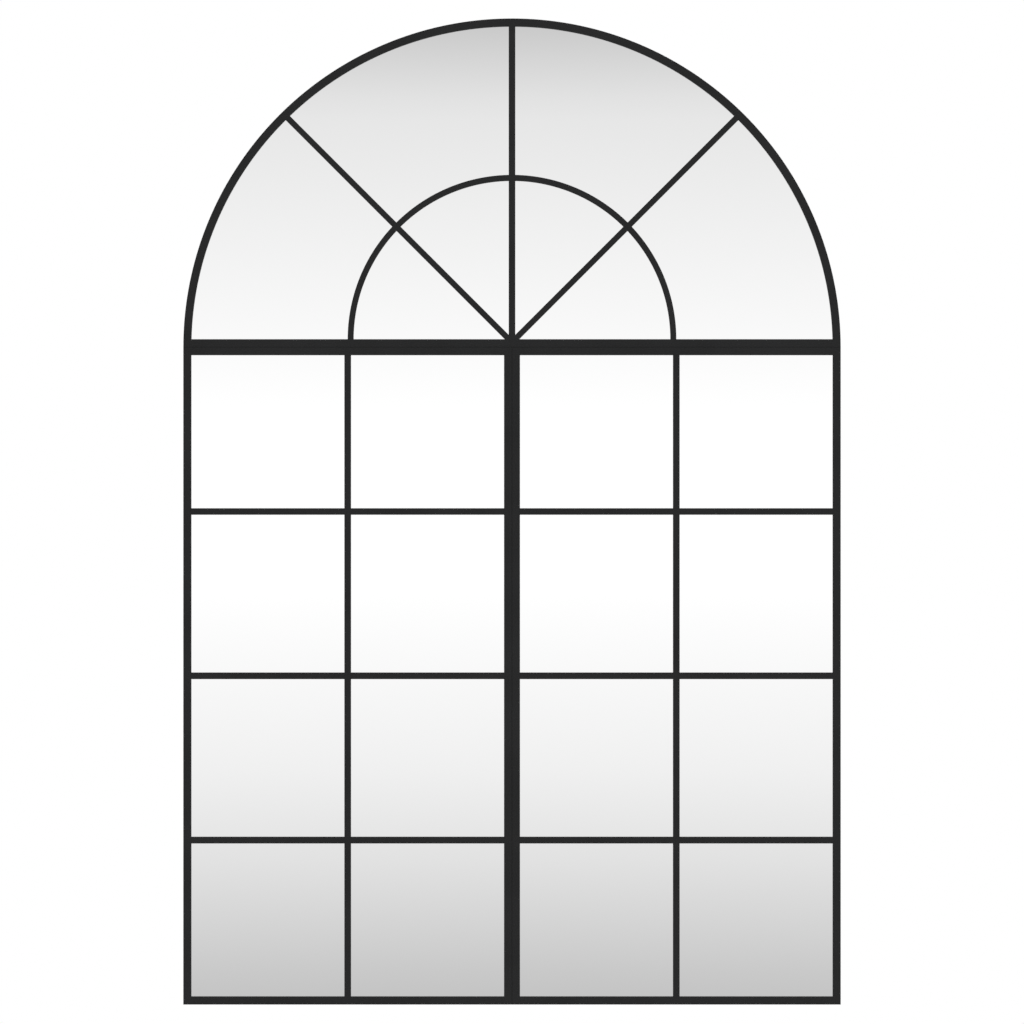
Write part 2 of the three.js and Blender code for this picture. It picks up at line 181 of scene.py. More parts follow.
def use(piece):
    deselect()
    piece.select_set(True)
    bpy.context.view_layer.objects.active = piece


def added(add, name, scaled=(1, 1, 1), **place):
    """A primitive of that name, scaled, its object at the origin."""
    deselect()
    add(**place)
    piece = bpy.context.object
    piece.name = piece.data.name = name
    piece.scale = scaled
    bpy.ops.object.transform_apply(location=True, rotation=True, scale=True)
    return piece


def block(name, low, high):
    """A block between two corners, for a start."""
    middle = [(a + b) / 2 for a, b in zip(low, high)]
    across = [b - a for a, b in zip(low, high)]
    return added(bpy.ops.mesh.primitive_cube_add, name, scaled=across, size=1, location=middle)


def edit(piece, select="FACE"):
    use(piece)
    bpy.ops.object.mode_set(mode="EDIT")
    bpy.ops.mesh.select_mode(type=select)
    bpy.ops.mesh.select_all(action="SELECT")


def pick(piece, wanted):
    """In edit mode, selects only the faces, edges or corners that are wanted."""
    mesh = bmesh.from_edit_mesh(piece.data)
    mode = bpy.context.tool_settings.mesh_select_mode
    kind = mesh.verts if mode[0] else mesh.edges if mode[1] else mesh.faces
    bpy.ops.mesh.select_all(action="DESELECT")
    for item in kind:
        item.select_set(bool(wanted(item)))
    bmesh.update_edit_mesh(piece.data)


def done(piece, smooth=35):
    """Leaves edit mode with the doubles merged and the faces outwards."""
    bpy.ops.mesh.select_mode(type="VERT")
    bpy.ops.mesh.select_all(action="SELECT")
    bpy.ops.mesh.remove_doubles(threshold=1e-6)
    bpy.ops.mesh.normals_make_consistent(inside=False)
    bpy.ops.object.mode_set(mode="OBJECT")
    use(piece)
    bpy.ops.object.shade_smooth_by_angle(angle=radians(smooth))


def cut_off(piece, point, normal):
    """In edit mode, cuts away what lies on the normal's side of a plane."""
    bpy.ops.mesh.select_all(action="SELECT")
    bpy.ops.mesh.bisect(plane_co=point, plane_no=normal, use_fill=True, clear_outer=True)


def edge_middle(edge):
    return (edge.verts[0].co + edge.verts[1].co) / 2


def edge_way(edge):
    return (edge.verts[1].co - edge.verts[0].co).normalized()


def put(piece, matrix):
    """Moves the mesh, and turns it right side out if the matrix mirrors it."""
    use(piece)
    piece.data.transform(matrix)
    if matrix.determinant() < 0:
        piece.data.flip_normals()


def level_faces(piece):
    """Keeps flat faces flat in shading, beside their rounded edges."""
    piece.modifiers.new("level faces", "WEIGHTED_NORMAL").keep_sharp = True


def carry(piece, material, body, slot, *nodes):
    """Gives a finished piece its material and its body, and hides the CAD nodes that it stands
    for.
    """
    level_faces(piece)
    piece.data.materials.clear()
    piece.data.materials.append(material)
    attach(piece, body)
    if nodes:
        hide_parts(*nodes)


ANGLE = 12 * MM  # leg of the angle
STEEL = 2 * MM
EASED = 0.3 * MM  # rounding of the rolled edges
ROOT = 1.2 * MM  # fillet in the angle's inner corner
half_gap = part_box("fan_bow")[0][2] - spring  # half of the joint between two panels


def angle_bar(name, length, mitred=True):
    """Runs up +Z from the origin, with its web at x = 0 and its flange at y = 0."""
    bar = block(name, (0, 0, 0), (ANGLE, STEEL, length))
    edit(bar)
    bpy.ops.mesh.bisect(plane_co=(STEEL, 0, 0), plane_no=(1, 0, 0))
    pick(bar, lambda face: face.normal.y > 0.9 and face.calc_center_median().x < STEEL)
    back = {"value": (0, ANGLE - STEEL, 0)}
    bpy.ops.mesh.extrude_region_move(TRANSFORM_OT_translate=back)
    if mitred:
        cut_off(bar, (0, 0, 0), (1, 0, -1))
        cut_off(bar, (0, 0, length), (1, 0, 1))
    return bar


def ease_angle(bar):
    """Rounds the long edges, and fills the inner corner as rolling leaves it."""
    bpy.ops.mesh.select_mode(type="EDGE")

    def corner(edge, root):
        at = edge_middle(edge)
        lengthwise = abs(edge_way(edge).z) > 0.99
        inside = abs(at.x - STEEL) < 1e-5 and abs(at.y - STEEL) < 1e-5
        flat = edge.calc_face_angle(0) < 0.1
        return lengthwise and not flat and inside == root

    pick(bar, lambda edge: corner(edge, True))
    bpy.ops.mesh.bevel(offset=ROOT, segments=4, affect="EDGES")
    pick(bar, lambda edge: corner(edge, False) and edge.calc_face_angle(0) > 1)
    bpy.ops.mesh.bevel(offset=EASED, segments=2, affect="EDGES")


def basis(side, inward, along, x, z):
    """Matrix for a bar of the left (-1) or right (1) half; inward and along are x, z pairs."""
    return Matrix((
        (side * inward[0], 0, side * along[0], side * x),
        (0, 1, 0, front),
        (inward[1], 0, along[1], z),
        (0, 0, 0, 1),
    ))


panel_top = spring - half_gap
height = panel_top - foot
width = radius - half_gap
UP, DOWN, OUT, IN = (0, 1), (0, -1), (1, 0), (-1, 0)
tall_bars = {
    "meeting_stile": (height, OUT, UP, half_gap, foot),
    "outer_stile": (height, IN, DOWN, radius, panel_top),
    "head_rail": (width, DOWN, OUT, half_gap, panel_top),
    "foot_rail": (width, UP, IN, radius, foot),
}
for side, sign in (("left", -1), ("right", 1)):
    for place, (length, inward, along, x, z) in tall_bars.items():
        node = f"{side}_{place}"
        bar = angle_bar(f"{node}_angle", length)
        ease_angle(bar)
        done(bar)
        put(bar, basis(sign, inward, along, x, z))
        carry(bar, powder_coat, "mirror_frame", "frame_iron", node)


# Bow of the fanlight. The same angle, rolled to a half circle with its web outside and welded
# to the two ends of the sill.

SPIN_STEPS = 144  # in a half circle
bow = added(
    bpy.ops.mesh.primitive_plane_add, "bow_angle", scaled=(ANGLE, STEEL, 1), size=1,
    location=(radius - ANGLE / 2, front + STEEL / 2, spring),
)
edit(bow, "EDGE")
bpy.ops.mesh.bisect(plane_co=(radius - STEEL, 0, 0), plane_no=(1, 0, 0))


def on_web_back(edge):
    at = edge_middle(edge)
    behind = abs(at.y - front - STEEL) < 1e-6
    return behind and at.x > radius - STEEL and abs(edge_way(edge).x) > 0.9


pick(bow, on_web_back)
bpy.ops.mesh.extrude_region_move(TRANSFORM_OT_translate={"value": (0, ANGLE - STEEL, 0)})
bpy.ops.mesh.select_all(action="SELECT")
bpy.ops.mesh.spin(
    steps=SPIN_STEPS, angle=pi, center=(0, 0, spring), axis=(0, 1, 0), dupli=False,
)
bpy.ops.mesh.select_all(action="SELECT")
bpy.ops.mesh.remove_doubles(threshold=1e-6)
bpy.ops.mesh.normals_make_consistent(inside=False)
cut_off(bow, (0, 0, spring + half_gap), (0, 0, -1))


def rolled(edge, root):
    """Whether an edge runs round the bow on one of its corners."""
    first, second = (corner.co - Vector((0, 0, spring)) for corner in edge.verts)
    around = abs(sqrt(first.x**2 + first.z**2) - sqrt(second.x**2 + second.z**2)) < 1e-5
    around = around and abs(first.y - second.y) < 1e-6 and edge.calc_length() > 1 * MM
    inside = abs(sqrt(first.x**2 + first.z**2) - radius + STEEL) < 1e-4
    inside = inside and abs(first.y - front - STEEL) < 1e-5
    return around and inside == root and edge.calc_face_angle(0) > 1


pick(bow, lambda edge: rolled(edge, True))
bpy.ops.mesh.bevel(offset=ROOT, segments=4, affect="EDGES")
pick(bow, lambda edge: rolled(edge, False))
bpy.ops.mesh.bevel(offset=EASED, segments=2, affect="EDGES")
done(bow)
carry(bow, powder_coat, "mirror_frame", "frame_iron", "fan_bow")


# Sill of the fanlight. The same angle, its flange cut to end against the bow's flange, and its
# web running on behind that flange to the bow's web.

FLUSH = 0.04 * MM  # how far the ground end of a bar lies below the face that it is welded to
BITE = 0.3 * MM  # how far such an end runs into the other bar
flange_end = sqrt((radius - ANGLE) ** 2 - ANGLE**2) + BITE
web_end = radius - STEEL
sill = angle_bar("sill_angle", 2 * flange_end, mitred=False)
for end, outwards in ((0, -1), (2 * flange_end, 1)):
    pick(sill, lambda face: (
        face.normal.z * outwards > 0.9
        and abs(face.calc_center_median().z - end) < 1e-5
        and face.calc_center_median().y > STEEL
    ))
    further = {"value": (0, 0, outwards * (web_end - flange_end))}
    bpy.ops.mesh.extrude_region_move(TRANSFORM_OT_translate=further)
ease_angle(sill)
done(sill)
put(sill, Matrix((
    (0, 0, 1, -flange_end), (0, 1, 0, front + FLUSH), (1, 0, 0, spring + half_gap), (0, 0, 0, 1),
)))
carry(sill, powder_coat, "mirror_frame", "frame_iron", "fan_sill")


# Glazing bars of the tall panels. 10 x 2 flat bar, half lapped where they cross, welded to the
# flanges and ground flush under the same powder coat.

BAR = 10 * MM
module = radius / 2


def flat_bar(name, length, sunk, across=BAR):
    """Runs up +Z from the origin, its middle at x = 0 and its face sunk below y = 0."""
    bar = block(name, (-across / 2, sunk, 0), (across / 2, STEEL, length))
    edit(bar, "EDGE")
    return bar


def ease_flat(bar, across=BAR):
    def long_edge(edge):
        wide = abs(abs(edge_middle(edge).x) - across / 2) < 1e-5
        return wide and abs(edge_way(edge).z) > 0.99

    bpy.ops.mesh.select_mode(type="EDGE")
    pick(bar, long_edge)
    bpy.ops.mesh.bevel(offset=EASED, segments=2, affect="EDGES")
    done(bar)


clear_height = height - 2 * ANGLE
clear_width = width - 2 * ANGLE
for side, sign in (("left", -1), ("right", 1)):
    places = [(f"{side}_upright_bar", clear_height, FLUSH, OUT, UP, module, foot + ANGLE)]
    for row in (1, 2, 3):
        z = foot + row * module
        name = f"{side}_cross_bar_{row}"
        places.append((name, clear_width, 2 * FLUSH, DOWN, OUT, half_gap + ANGLE, z))
    for node, length, sunk, across, along, x, z in places:
        bar = flat_bar(f"{node}_flat", length + 2 * BITE, sunk)
        ease_flat(bar)
        put(bar, basis(sign, across, along, x - BITE * along[0], z - BITE * along[1]))
        carry(bar, powder_coat, "mirror_frame", "frame_iron", node)


# Spokes of the fanlight. The same flat bar upright, and a 9 mm one at 45 degrees to each side,
# cut at the foot to stand on the sill close beside the upright one.

sill_top = spring + half_gap + ANGLE
FAN_BAR = 9 * MM  # width of the sloping spokes and the half ring
MEET = 7.5 * MM  # height above the joint at which the spokes' middle lines meet
clear_radius = radius - ANGLE

spoke = flat_bar("upright_spoke_flat", clear_radius - (sill_top - spring) + 2 * BITE, FLUSH)
ease_flat(spoke)
put(spoke, basis(1, OUT, UP, 0, sill_top - BITE))
carry(spoke, powder_coat, "mirror_frame", "frame_iron", "fan_spoke_centre")

slope = radians(45)
for side, sign in (("left", -1), ("right", 1)):
    length = clear_radius - MEET * cos(slope) + BITE
    spoke = flat_bar(f"{side}_sloping_spoke_flat", length, FLUSH, FAN_BAR)
    turned = basis(1, (cos(slope), -sin(slope)), (sin(slope), cos(slope)), 0, spring + MEET)
    bpy.ops.mesh.select_mode(type="FACE")
    into = turned.inverted()
    for point, normal in (
        (Vector((0, 0, sill_top - BITE)), Vector((0, 0, -1))),
        (Vector((BAR / 2 - BITE, 0, 0)), Vector((-1, 0, 0))),
    ):
        cut_off(spoke, into @ point, into.to_3x3() @ normal)
    ease_flat(spoke, FAN_BAR)
    put(spoke, turned)
    put(spoke, Matrix.Scale(sign, 4, (1, 0, 0)))
    carry(spoke, powder_coat, "mirror_frame", "frame_iron", f"fan_spoke_{side}")


# Half ring of the fanlight. The 9 mm flat bar bent edgewise, half lapped behind the spokes and
# standing on the sill.

ring_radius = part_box("fan_ring")[1][0]
half_ring = added(
    bpy.ops.mesh.primitive_plane_add, "half_ring_flat", size=1,
    scaled=(FAN_BAR, STEEL - 2 * FLUSH, 1),
    location=(ring_radius - FAN_BAR / 2, front + STEEL / 2 + FLUSH, sill_top),
)
edit(half_ring, "VERT")
bpy.ops.mesh.bevel(offset=EASED, segments=2, affect="VERTICES")
bpy.ops.mesh.select_all(action="SELECT")
bpy.ops.mesh.spin(
    steps=SPIN_STEPS, angle=pi, center=(0, 0, sill_top), axis=(0, 1, 0), dupli=False,
)
bpy.ops.mesh.select_mode(type="FACE")
pick(half_ring, lambda face: (
    face.normal.z < -0.999 and face.calc_center_median().z < sill_top + 1e-5
))
bpy.ops.mesh.extrude_region_move(TRANSFORM_OT_translate={"value": (0, 0, -BITE)})
done(half_ring)
carry(half_ring, powder_coat, "mirror_frame", "frame_iron", "fan_ring")


# Weld beads. One runs down the inside of each corner where two webs meet, behind the mirror's
# corner; it is rippled, as the torch leaves it, and coated with the frame.

BEAD = 1.9 * MM  # radius
BEAD_SHORT = 1.5 * MM  # from the bead's end to the webs' rear edge
RIPPLES = 9
VALLEY = 0.86  # radius between two ripples, of the bead's own
bead_length = ANGLE - STEEL - BEAD_SHORT
bead = added(
    bpy.ops.mesh.primitive_cylinder_add, "weld_bead", vertices=20, radius=BEAD,
    depth=bead_length, location=(0, 0, bead_length / 2),
)
edit(bead)
half_ripple = bead_length / (2 * RIPPLES)
for ripple in range(1, 2 * RIPPLES):
    bpy.ops.mesh.select_all(action="SELECT")
    bpy.ops.mesh.bisect(plane_co=(0, 0, half_ripple * ripple), plane_no=(0, 0, 1))
bpy.ops.mesh.select_mode(type="VERT")
pick(bead, lambda corner: round(corner.co.z / half_ripple) % 2 == 0)
bpy.ops.transform.resize(value=(VALLEY, VALLEY, 1), center_override=(0, 0, 0))
pick(bead, lambda corner: corner.co.z > bead_length - 1e-5)
bpy.ops.transform.resize(value=(0.7, 0.7, 1), center_override=(0, 0, bead_length))
done(bead, 60)
bead.data.transform(Matrix.Rotation(radians(-90), 4, "X"))
corners = [(sign * x, z) for sign in (-1, 1) for x in (half_gap + STEEL, radius - STEEL)
           for z in (foot + STEEL, panel_top - STEEL)]
corners += [(sign * (radius - STEEL), spring + half_gap + STEEL) for sign in (-1, 1)]


def copy_of(piece, name, matrix):
    """A copy with its own mesh, moved by the matrix."""
    twin = piece.copy()
    twin.data = piece.data.copy()
    twin.name = twin.data.name = name
    bpy.context.scene.collection.objects.link(twin)
    put(twin, matrix)
    return twin


BEAD_TURN = radians(37)  # each bead against the one before, so that no two look alike
for number, (x, z) in enumerate(corners, 1):
    place = Matrix.Translation((x, front + STEEL, z))
    turned = Matrix.Rotation(BEAD_TURN * number, 4, "Y")
    run = copy_of(bead, f"weld_bead_{number:02d}", place @ turned)
    carry(run, powder_coat, "mirror_frame", "frame_iron")
bpy.data.objects.remove(bead)


# Seals. Thin strips of black rubber pressed into the joints between the three panels, a little
# below the front, so that no light shows through.

SEAL_DEPTH = 9 * MM
SEAL_SUNK = 0.8 * MM
seal_front = front + SEAL_SUNK
rubber, strip = new_material("black_rubber")
speckle = strip.noise(900, detail=2)
finish(
    rubber,
    Base_Color=strip.blend(speckle, (0.009, 0.009, 0.01, 1), (0.016, 0.016, 0.017, 1)),
    Roughness=0.75 + speckle * 0.15,
    Normal=speckle.bump(0.3, 0.0001),
)
for name, low, high in (
    ("upright_seal", (-half_gap, foot), (half_gap, panel_top)),
    ("level_seal", (-radius + EASED, panel_top), (radius - EASED, spring + half_gap)),
):
    seal = block(name, (low[0], seal_front, low[1]), (high[0], seal_front + SEAL_DEPTH, high[1]))
    edit(seal, "EDGE")
    pick(seal, lambda edge: abs(edge_middle(edge).y - seal_front) < 1e-5)
    bpy.ops.mesh.bevel(offset=half_gap / 2, segments=3, affect="EDGES")
    done(seal)
    carry(seal, rubber, "mirror_frame", "pad_rubber")


# Mirrors. 4 mm float glass, one sheet a panel: silver shows on the front, the ground edges are
# green, and the back carries the grey protective paint.

def keep_node(name, material, rounding):
    """A CAD node that stays, with its loose triangles welded and its edges eased."""
    node = frame["nodes"][name]
    weld = node.modifiers.new("weld", "WELD")
    weld.merge_threshold = 1e-5
    flat = node.modifiers.new("flat", "DECIMATE")
    flat.decimate_type = "DISSOLVE"
    flat.angle_limit = radians(0.5)
    ease = node.modifiers.new("ease", "BEVEL")
    ease.width = rounding
    ease.segments = 2
    ease.limit_method = "ANGLE"
    ease.angle_limit = radians(40)
    level_faces(node)
    node.data.materials.clear()
    node.data.materials.append(material)


silvered, glass = new_material("silvered_glass")
facing = glass.node("ShaderNodeTexCoord", {}, output=1)
depthwise = glass.node("ShaderNodeSeparateXYZ", {"Vector": facing}, output=1)
silver = depthwise.math("LESS_THAN", depthwise, -0.9)
back_side = depthwise.math("GREATER_THAN", depthwise, 0.9)
edge_green = glass.blend(glass.noise(60), (0.16, 0.33, 0.27, 1), (0.24, 0.42, 0.36, 1))
back_paint = glass.blend(glass.noise(25), (0.26, 0.27, 0.26, 1), (0.33, 0.34, 0.33, 1))
behind = glass.blend(back_side, edge_green, back_paint)
finish(
    silvered,
    Base_Color=glass.blend(silver, behind, (0.94, 0.94, 0.94, 1)),
    Metallic=silver,
    Roughness=(1 - silver) * 0.2 + back_side * 0.35,
)
for panel in ("fan", "left", "right"):
    keep_node(f"{panel}_mirror", silvered, 0.4 * MM)


# Liners. Brown fluted cardboard, cut a little smaller than the mirrors and pressed between them
# and the back boards.

cardboard, card = new_material("brown_cardboard")
fibres = card.noise(420, stretch=(1, 1, 0.25))
flecks = card.noise(90).steps(0.35, 0.75)
finish(
    cardboard,
    Base_Color=card.blend(flecks, (0.33, 0.19, 0.09, 1), (0.44, 0.27, 0.13, 1)),
    Roughness=0.85 + fibres * 0.12,
    Normal=fibres.bump(0.4, 0.0002),
)
for panel in ("fan", "left", "right"):
    keep_node(f"{panel}_liner", cardboard, 0.2 * MM)


# Back boards. 3 mm hardboard with its smooth brown face out, closely mottled with short dark
# and pale fibres.

hardboard, board = new_material("brown_hardboard")
mottle = board.noise(9, detail=4).steps(0.3, 0.7)
fine = board.noise(260, detail=4).steps(0.35, 0.65)
upright_fibres = board.noise(1300, detail=1, stretch=(1, 1, 0.18)).steps(0.62, 0.8)
level_fibres = board.noise(1300, detail=1, stretch=(0.18, 1, 1)).steps(0.62, 0.8)
slivers = upright_fibres + level_fibres
warm = board.blend(mottle, (0.185, 0.098, 0.05, 1), (0.235, 0.13, 0.068, 1))
dark = board.blend(fine * 0.5, warm, (0.11, 0.055, 0.028, 1))
finish(
    hardboard,
    Base_Color=board.blend(slivers * 0.3, dark, (0.36, 0.22, 0.125, 1)),
    Roughness=0.5 + fine * 0.2,
    Normal=(fine + slivers).bump(0.2, 0.0001),
)
for panel in ("fan", "left", "right"):
    keep_node(f"{panel}_back_board", hardboard, 0.25 * MM)


# Weld studs. M4 studs with a weld collar at the foot and a thread on the end, standing in the
# channel between the web and the mirror.

zinc, plate = new_material("zinc_plated_steel")
dull = plate.noise(55, detail=4).steps(0.3, 0.7)
grain = plate.noise(500, detail=2, stretch=(0.15, 1, 1))
finish(
    zinc,
    Base_Color=plate.blend(dull, (0.5, 0.51, 0.51, 1), (0.64, 0.65, 0.64, 1)),
    Metallic=1,
    Roughness=0.2 + dull * 0.1 + grain * 0.08,
    Normal=grain.bump(0.12, 0.00005),
)

STUD = 2 * MM  # radius
COLLAR = 3 * MM  # radius
SHANK = 8.5 * MM  # from the flange to the first thread
PITCH = 0.7 * MM
THREADS = 9
THREAD_ROOT = 0.82  # radius between two threads, of the stud's own
stud_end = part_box("fan_bow")[1][1] - front - STEEL  # from the flange's back to the stud's end

stud = added(
    bpy.ops.mesh.primitive_circle_add, "weld_stud", vertices=20, radius=COLLAR, fill_type="NGON",
)
edit(stud)
profile = [(0.35 * MM, 2.75 * MM), (0.6 * MM, 2.3 * MM), (1.0 * MM, STUD), (SHANK, STUD)]
for thread in range(THREADS):
    start = SHANK + thread * PITCH
    profile.append((start + PITCH / 2, STUD * THREAD_ROOT))
    profile.append((start + PITCH, STUD))
profile += [(stud_end - 0.4 * MM, STUD * 0.97), (stud_end, STUD * 0.78)]
level, across = 0, COLLAR
for upto, wide in profile:
    bpy.ops.mesh.extrude_region_move(TRANSFORM_OT_translate={"value": (0, 0, upto - level)})
    share = wide / across
    bpy.ops.transform.resize(value=(share, share, 1), center_override=(0, 0, upto))
    level, across = upto, wide
done(stud, 50)
stud.data.transform(Matrix.Rotation(radians(-90), 4, "X"))

PLATE_HALF = 20 * MM  # half the pitch of the studs in one plate
stud_line = half_gap + 4.5 * MM  # from a joint between panels to the studs beside it
HANGER_OUT = radius - 200 * MM  # from the mirror's middle to a hanger
END_PLATE = radius - 50 * MM  # and to the middle of an outer plate
TEE_PITCH = 50 * MM  # from the joint down to the middle plate's lower studs
joint_pairs = [PLATE_HALF, HANGER_OUT, END_PLATE - PLATE_HALF, END_PLATE + PLATE_HALF]
stud_places = [(sign * x, spring + up * stud_line)
               for sign in (-1, 1) for x in joint_pairs for up in (-1, 1)]
pair_heights = [spring - TEE_PITCH]
for row in (1, 3):
    pair_heights += [foot + row * module - PLATE_HALF, foot + row * module + PLATE_HALF]
stud_places += [(sign * stud_line, z) for sign in (-1, 1) for z in pair_heights]
clip_joints = [j for j in frame["joints"] if "clip" in j["child"]]
stud_places += [(j["pos_m"][0], j["pos_m"][2]) for j in clip_joints]
for number, (x, z) in enumerate(stud_places, 1):
    place = Matrix.Translation((x, front + STEEL, z))
    one = copy_of(stud, f"weld_stud_{number:02d}", place)
    carry(one, zinc, "mirror_frame", "zinc_steel")
bpy.data.objects.remove(stud)


# Turn clips. Zinc-plated tongues punched from 1.5 mm steel, with a hole for the stud at one
# end and the other end turned up so that it rides over the edge of the board.

CLIP_THICK = 1.5 * MM
CLIP_HALF = 4 * MM
CLIP_TIP = 22 * MM  # from the hole to the middle of the round tip
TURN_UP = 18 * MM  # from the hole to where the tip starts to rise
TIP_RISE = 6  # degrees, twice
HOLE = 2.2 * MM  # radius


def drill(piece, x, y, depth):
    """Cuts a round hole along Z through the piece at that place."""
    bit = added(
        bpy.ops.mesh.primitive_cylinder_add, "bit", vertices=24, radius=HOLE, depth=depth,
        location=(x, y, 0),
    )
    use(piece)
    hole = piece.modifiers.new("hole", "BOOLEAN")
    hole.operation = "DIFFERENCE"
    hole.object = bit
    bpy.ops.object.modifier_apply(modifier="hole")
    bpy.data.objects.remove(bit)


def soften(piece, rounding, segments=2, angle=40):
    """Eases all sharp edges and shades the piece."""
    use(piece)
    ease = piece.modifiers.new("ease", "BEVEL")
    ease.width = rounding
    ease.segments = segments
    ease.limit_method = "ANGLE"
    ease.angle_limit = radians(angle)
    bpy.ops.object.modifier_apply(modifier="ease")
    bpy.ops.object.shade_smooth_by_angle(angle=radians(35))


clip = added(
    bpy.ops.mesh.primitive_cylinder_add, "turn_clip", vertices=28, radius=CLIP_HALF,
    depth=CLIP_THICK, rotation=(0, 0, pi / 28),
)
edit(clip, "VERT")
pick(clip, lambda corner: corner.co.x > 0)
bpy.ops.transform.translate(value=(CLIP_TIP, 0, 0))
bpy.ops.mesh.select_all(action="SELECT")
bpy.ops.mesh.bisect(plane_co=(TURN_UP, 0, 0), plane_no=(1, 0, 0))
bpy.ops.mesh.select_all(action="SELECT")
bpy.ops.mesh.bisect(plane_co=(TURN_UP + 1.5 * MM, 0, 0), plane_no=(1, 0, 0))
for bend in (TURN_UP, TURN_UP + 2 * MM):
    pick(clip, lambda corner: corner.co.x > bend + 1 * MM)
    bpy.ops.transform.rotate(
        value=radians(TIP_RISE), orient_axis="Y", center_override=(bend, 0, 0),
    )
done(clip)
drill(clip, 0, 0, 10 * MM)
soften(clip, 0.25 * MM)
clip.data.transform(Matrix.Translation((0, 0, CLIP_THICK / 2)))
clip.data.transform(Matrix.Rotation(radians(-90), 4, "X"))

clip_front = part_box("fan_top_clip")[0][1]
for joint in clip_joints:
    name = joint["child"]
    x, _, z = joint["pos_m"]
    low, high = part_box(name)
    slant = atan2((low[2] + high[2]) / 2 - z, (low[0] + high[0]) / 2 - x)
    place = Matrix.Translation((x, clip_front, z)) @ Matrix.Rotation(-slant, 4, "Y")
    one = copy_of(clip, f"{name}_tongue", place)
    carry(one, zinc, name, "zinc_steel", name)
bpy.data.objects.remove(clip)


# Joiner plates. 2 mm zinc-plated steel, laid over the studs of the panels that meet.

for place in ("centre_tee", "lower_joiner", "upper_joiner", "left_transom", "right_transom"):
    keep_node(f"{place}_plate", zinc, 0.3 * MM)


# Hanger straps. 14 x 1.5 zinc-plated strip with a rounded foot, drilled for two studs and
# curled at the top into the eye that the ring swings in.

STRAP_HALF = 7 * MM
STRAP_THICK = 1.5 * MM
STRAP_FOOT = 11 * MM  # from the joint down to the strap's foot
CURL = radians(318)
FOOT_CORNER = 3 * MM
eye_y, eye_z = next(j["pos_m"][1:] for j in frame["joints"] if j["child"] == "left_ring")
strap_front = front + ANGLE
strap = block(
    "hanger_strap", (-STRAP_HALF, strap_front, spring - STRAP_FOOT),
    (STRAP_HALF, strap_front + STRAP_THICK, eye_z),
)
edit(strap)
pick(strap, lambda face: face.normal.z > 0.9)
bpy.ops.mesh.spin(
    steps=32, angle=CURL, center=(0, eye_y, eye_z), axis=(1, 0, 0), dupli=False,
)
bpy.ops.mesh.select_mode(type="EDGE")
pick(strap, lambda edge: abs(edge_way(edge).y) > 0.9 and edge_middle(edge).z < spring - 10 * MM)
bpy.ops.mesh.bevel(offset=FOOT_CORNER, segments=6, affect="EDGES")
done(strap)
lay = Matrix.Translation((0, strap_front, spring)) @ Matrix.Rotation(radians(-90), 4, "X")
strap.data.transform(lay.inverted())
for up in (-1, 1):
    drill(strap, 0, up * stud_line, 4 * MM)
strap.data.transform(lay)
soften(strap, 0.2 * MM)
for side, sign in (("left", -1), ("right", 1)):
    one = copy_of(strap, f"{side}_hanger_strip", Matrix.Translation((sign * HANGER_OUT, 0, 0)))
    carry(one, zinc, "mirror_frame", "zinc_steel", f"{side}_hanger_strap")
bpy.data.objects.remove(strap)


# Hanger rings. 3 mm zinc-plated wire bent to a long D, its two ends meeting inside the eye.

WIRE = 1.5 * MM  # radius
RING_HALF = 10.5 * MM  # from the middle to the wire's centre line
RING_LENGTH = 27 * MM
BEND = 3 * MM
WIRE_GAP = 0.25 * MM  # from the middle of the eye to each end of the wire
straight = RING_LENGTH - BEND - RING_HALF
hang_ring = added(
    bpy.ops.mesh.primitive_circle_add, "hanger_ring", vertices=20, radius=WIRE, fill_type="NGON",
    rotation=(0, radians(90), 0), location=(WIRE_GAP, eye_y, eye_z),
)
edit(hang_ring)
bpy.ops.mesh.extrude_region_move(
    TRANSFORM_OT_translate={"value": (RING_HALF - BEND - WIRE_GAP, 0, 0)},
)
sideways = {"axis": (0, -1, 0), "dupli": False}
bend_z = eye_z - BEND
bpy.ops.mesh.spin(steps=8, angle=pi / 2, center=(RING_HALF - BEND, eye_y, bend_z), **sideways)
bpy.ops.mesh.extrude_region_move(TRANSFORM_OT_translate={"value": (0, 0, -straight)})
bpy.ops.mesh.spin(steps=28, angle=pi, center=(0, eye_y, bend_z - straight), **sideways)
bpy.ops.mesh.extrude_region_move(TRANSFORM_OT_translate={"value": (0, 0, straight)})
bpy.ops.mesh.spin(steps=8, angle=pi / 2, center=(BEND - RING_HALF, eye_y, bend_z), **sideways)
bpy.ops.mesh.extrude_region_move(
    TRANSFORM_OT_translate={"value": (RING_HALF - BEND - WIRE_GAP, 0, 0)},
)
done(hang_ring, 60)
for side, sign in (("left", -1), ("right", 1)):
    one = copy_of(hang_ring, f"{side}_ring_wire", Matrix.Translation((sign * HANGER_OUT, 0, 0)))
    carry(one, zinc, f"{side}_ring", "zinc_steel", f"{side}_hanger_ring")
bpy.data.objects.remove(hang_ring)


# Nuts and washers. A thin M4 hexagon nut, 7 mm across the flats with chamfered corners, on a
# washer over each clip, plate and strap.

NUT_THICK = 2.2 * MM
NUT_CORNER = 3.5 * MM / cos(radians(30))
NUT_TURN = radians(47)  # each nut against the one before, as a spanner leaves them
WASHER = 4 * MM  # radius
WASHER_THICK = 0.5 * MM


